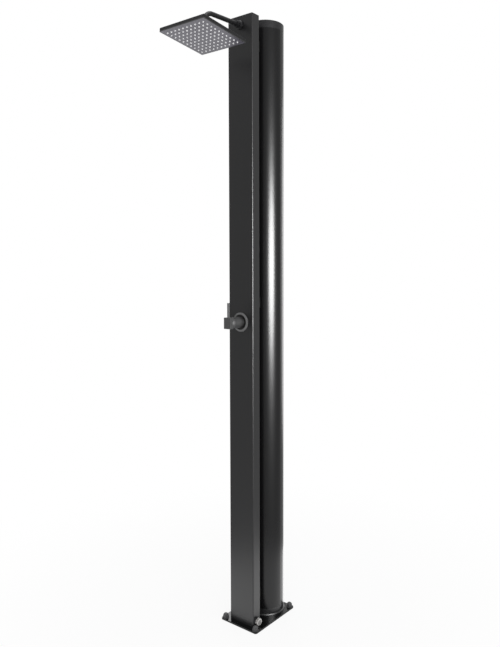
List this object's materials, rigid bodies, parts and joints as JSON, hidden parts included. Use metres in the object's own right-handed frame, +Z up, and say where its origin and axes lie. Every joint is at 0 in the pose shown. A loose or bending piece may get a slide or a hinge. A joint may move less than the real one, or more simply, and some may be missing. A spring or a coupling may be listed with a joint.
{
  "type": "solar shower",
  "caption": "Freestanding solar garden shower: box column with a round water tank behind it, square tilting rain head on a bent arm and a single-lever mixer, on a bolted base plate",
  "frame": {"origin": "centre of the base plate's underside, on the ground", "axes": "+Z up, the user stands on the -Y side facing the column, +X to the side of the garden-hose inlet"},
  "size_m": [0.2, 0.5011, 2.207],
  "materials": {
    "column_coat": "satin black powder coat",
    "plate_gloss": "gloss black enamel",
    "tank_gloss": "smooth black",
    "tank_cap": "moulded black, slightly duller than the tube",
    "black_metal": "satin black",
    "nickel": "bright nickel",
    "steel": "stainless",
    "brass": "raw brass",
    "seal_rubber": "nitrile",
    "pipe_plastic": "white polyethylene",
    "bridge_plastic": "black moulding",
    "head_coat": "satin black",
    "face_coat": "dark grey moulding with a black rim",
    "silicone": "white silicone"
  },
  "bodies": {
    "post": {"base_plate": "plate_gloss", "anchor_washers": "black_metal", "anchor_cap_nuts": "black_metal", "column_profile": "column_coat", "column_cap": "column_coat", "column_screws": "steel", "tank_tube": "tank_gloss", "tank_top_cap": "tank_cap", "tank_bottom_cap": "tank_cap", "tank_seals": "seal_rubber", "lower_bridge": "bridge_plastic", "middle_bridge": "bridge_plastic", "upper_bridge": "bridge_plastic", "bridge_bolts": "steel", "inlet_nipple": "nickel", "inlet_seal": "seal_rubber", "inlet_flange": "black_metal", "inlet_locknut": "brass", "inlet_strainer": "steel", "inlet_manifold": "brass", "check_valve": "brass", "tank_feed_pipe": "steel", "tank_outlet_pipe": "steel", "tank_grommets": "seal_rubber", "hot_elbow": "brass", "cold_hose": "pipe_plastic", "hot_hose": "pipe_plastic", "riser_hose": "pipe_plastic", "hose_ferrules": "steel", "mixer_body": "brass", "mixer_rosette": "black_metal", "mixer_sleeve": "black_metal", "cartridge": "pipe_plastic", "cartridge_nut": "brass", "arm_tube": "black_metal", "arm_flange": "black_metal", "arm_nut": "black_metal", "arm_elbow": "brass", "ball_fitting": "black_metal"},
    "mixer_swivel": {"stem_yoke": "brass", "yoke_pin": "steel"},
    "mixer_lever": {"lever_stem": "brass", "handle_block": "black_metal", "grub_screw": "steel", "lever_pin": "black_metal"},
    "swivel_seal": {"ball_seal": "seal_rubber"},
    "swivel_seat": {"ball_seat": "bridge_plastic"},
    "shower_head": {"collar_nut": "black_metal", "head_shell": "head_coat", "head_gasket": "seal_rubber", "face_plate": "face_coat", "nozzle_mat": "silicone"}
  },
  "joints": [
    {"name": "mixer_turn", "type": "hinge", "parent": "post", "child": "mixer_swivel", "pos_m": [0, -0.1445, 1.122], "axis": [0, 1, 0], "range_deg": [-50, 50]},
    {"name": "mixer_lift", "type": "hinge", "parent": "mixer_swivel", "child": "mixer_lever", "pos_m": [0, -0.1445, 1.122], "axis": [1, 0, 0], "range_deg": [0, 22]},
    {"name": "head_spin", "type": "hinge", "parent": "post", "child": "swivel_seal", "pos_m": [0, -0.27836, 2.09963], "axis": [0, 0.1175, 0.9931], "continuous": true},
    {"name": "head_tilt", "type": "hinge", "parent": "swivel_seal", "child": "swivel_seat", "pos_m": [0, -0.27836, 2.09963], "axis": [1, 0, 0], "range_deg": [-15, 15]},
    {"name": "head_roll", "type": "hinge", "parent": "swivel_seat", "child": "shower_head", "pos_m": [0, -0.27836, 2.09963], "axis": [0, 0.9931, -0.1175], "range_deg": [-15, 15]}
  ]
}
